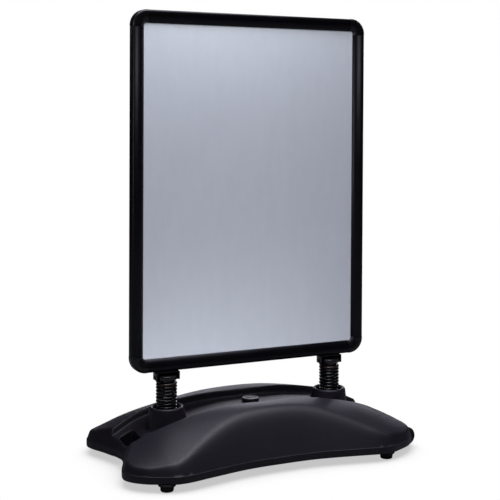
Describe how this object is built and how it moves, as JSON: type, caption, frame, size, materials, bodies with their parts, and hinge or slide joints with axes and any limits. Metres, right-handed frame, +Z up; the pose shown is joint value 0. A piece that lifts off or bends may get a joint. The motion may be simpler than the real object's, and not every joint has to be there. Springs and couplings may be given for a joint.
{
  "type": "spring-mounted pavement poster sign",
  "caption": "Double-sided snap-frame poster sign standing on coil springs in a low water-fillable base with grip slot, rubber feet and transport wheels.",
  "frame": {"origin": "on the floor, under the middle of the overall box; the sign's own middle is 8.58 mm towards -X of it, because the wheels stand out past the +X end", "axes": "+Z up along the sign's height; +Y and -Y are the two poster faces, -Y the front; +X towards the wheel end, -X towards the grip slot"},
  "size_m": [0.7888, 0.4538, 1.1054],
  "materials": {
    "base_plastic": "fine satin, moulded",
    "black_anodised": "black satin",
    "core_aluminium": "black satin",
    "corner_plastic": "glossy",
    "panel_grey": "matt, silver grey",
    "cover_clear": "clear, anti-glare frosted",
    "black_steel": "glossy black",
    "zinc_steel": "bright zinc",
    "rubber": "matt",
    "wheel_plastic": "satin",
    "plug_plastic": "satin"
  },
  "bodies": {
    "base": {"base_tank": "base_plastic", "foot_front_left": "rubber", "foot_front_right": "rubber", "foot_rear_left": "rubber", "foot_rear_right": "rubber", "wheel_pin_front": "zinc_steel", "wheel_pin_rear": "zinc_steel", "spring_seat_left": "plug_plastic", "spring_seat_right": "plug_plastic", "seat_bolt_left": "zinc_steel", "seat_bolt_right": "zinc_steel", "spring_left": "black_steel", "spring_right": "black_steel"},
    "wheel_front": {"wheel_front": "wheel_plastic"},
    "wheel_rear": {"wheel_rear": "wheel_plastic"},
    "cap_seal": {"filler_seal": "rubber"},
    "cap": {"filler_cap": "plug_plastic"},
    "sign": {"saddle_left": "black_steel", "saddle_right": "black_steel", "spring_head_left": "plug_plastic", "spring_head_right": "plug_plastic", "saddle_pin_left": "black_steel", "saddle_pin_right": "black_steel", "saddle_screw_left_a": "zinc_steel", "saddle_screw_left_b": "zinc_steel", "saddle_screw_right_a": "zinc_steel", "saddle_screw_right_b": "zinc_steel", "core_rail_top": "core_aluminium", "core_rail_bottom": "core_aluminium", "core_rail_left": "core_aluminium", "core_rail_right": "core_aluminium", "corner_key_top_left": "zinc_steel", "corner_key_top_right": "zinc_steel", "corner_key_bottom_left": "zinc_steel", "corner_key_bottom_right": "zinc_steel", "corner_cap_top_left": "corner_plastic", "corner_cap_top_right": "corner_plastic", "corner_cap_bottom_left": "corner_plastic", "corner_cap_bottom_right": "corner_plastic", "backing_panel": "panel_grey", "cover_sheet_front": "cover_clear", "cover_sheet_rear": "cover_clear"},
    "rail_front_top": {"snap_rail_front_top": "black_anodised", "rail_spring_front_top": "zinc_steel"},
    "rail_front_bottom": {"snap_rail_front_bottom": "black_anodised", "rail_spring_front_bottom": "zinc_steel"},
    "rail_front_left": {"snap_rail_front_left": "black_anodised", "rail_spring_front_left": "zinc_steel"},
    "rail_front_right": {"snap_rail_front_right": "black_anodised", "rail_spring_front_right": "zinc_steel"},
    "rail_rear_top": {"snap_rail_rear_top": "black_anodised", "rail_spring_rear_top": "zinc_steel"},
    "rail_rear_bottom": {"snap_rail_rear_bottom": "black_anodised", "rail_spring_rear_bottom": "zinc_steel"},
    "rail_rear_left": {"snap_rail_rear_left": "black_anodised", "rail_spring_rear_left": "zinc_steel"},
    "rail_rear_right": {"snap_rail_rear_right": "black_anodised", "rail_spring_rear_right": "zinc_steel"}
  },
  "joints": [
    {"name": "sign_sway", "type": "hinge", "parent": "base", "child": "sign", "pos_m": [-0.00858, 0, 0.163], "axis": [1, 0, 0], "range_deg": [-25, 25], "stiffness_Nm_per_rad": 150, "deforming": ["spring_left", "spring_right"]},
    {"name": "wheel_front_spin", "type": "hinge", "parent": "base", "child": "wheel_front", "pos_m": [0.37142, -0.137, 0.026], "axis": [0, 1, 0], "continuous": true},
    {"name": "wheel_rear_spin", "type": "hinge", "parent": "base", "child": "wheel_rear", "pos_m": [0.37142, 0.137, 0.026], "axis": [0, 1, 0], "continuous": true},
    {"name": "cap_lift", "type": "slide", "parent": "base", "child": "cap_seal", "axis": [0, 0, 1], "range_m": [0, 0.012]},
    {"name": "cap_turn", "type": "hinge", "parent": "cap_seal", "child": "cap", "pos_m": [-0.00858, 0, 0.13], "axis": [0, 0, 1], "range_deg": [0, 540]},
    {"name": "rail_front_top_open", "type": "hinge", "parent": "sign", "child": "rail_front_top", "pos_m": [-0.00858, -0.0095, 1.102], "axis": [-1, 0, 0], "range_deg": [0, 90], "stiffness_Nm_per_rad": 0.3, "springref_deg": -17.19},
    {"name": "rail_front_bottom_open", "type": "hinge", "parent": "sign", "child": "rail_front_bottom", "pos_m": [-0.00858, -0.0095, 0.228], "axis": [1, 0, 0], "range_deg": [0, 80], "stiffness_Nm_per_rad": 0.3, "springref_deg": -17.19},
    {"name": "rail_front_left_open", "type": "hinge", "parent": "sign", "child": "rail_front_left", "pos_m": [-0.32758, -0.0095, 0.665], "axis": [0, 0, -1], "range_deg": [0, 90], "stiffness_Nm_per_rad": 0.3, "springref_deg": -17.19},
    {"name": "rail_front_right_open", "type": "hinge", "parent": "sign", "child": "rail_front_right", "pos_m": [0.31042, -0.0095, 0.665], "axis": [0, 0, 1], "range_deg": [0, 90], "stiffness_Nm_per_rad": 0.3, "springref_deg": -17.19},
    {"name": "rail_rear_top_open", "type": "hinge", "parent": "sign", "child": "rail_rear_top", "pos_m": [-0.00858, 0.0095, 1.102], "axis": [1, 0, 0], "range_deg": [0, 90], "stiffness_Nm_per_rad": 0.3, "springref_deg": -17.19},
    {"name": "rail_rear_bottom_open", "type": "hinge", "parent": "sign", "child": "rail_rear_bottom", "pos_m": [-0.00858, 0.0095, 0.228], "axis": [-1, 0, 0], "range_deg": [0, 80], "stiffness_Nm_per_rad": 0.3, "springref_deg": -17.19},
    {"name": "rail_rear_left_open", "type": "hinge", "parent": "sign", "child": "rail_rear_left", "pos_m": [-0.32758, 0.0095, 0.665], "axis": [0, 0, 1], "range_deg": [0, 90], "stiffness_Nm_per_rad": 0.3, "springref_deg": -17.19},
    {"name": "rail_rear_right_open", "type": "hinge", "parent": "sign", "child": "rail_rear_right", "pos_m": [0.31042, 0.0095, 0.665], "axis": [0, 0, -1], "range_deg": [0, 90], "stiffness_Nm_per_rad": 0.3, "springref_deg": -17.19}
  ],
  "couplings": [
    {"joint": "cap_turn", "follows": "cap_lift", "rad_per_m": 785.4}
  ]
}
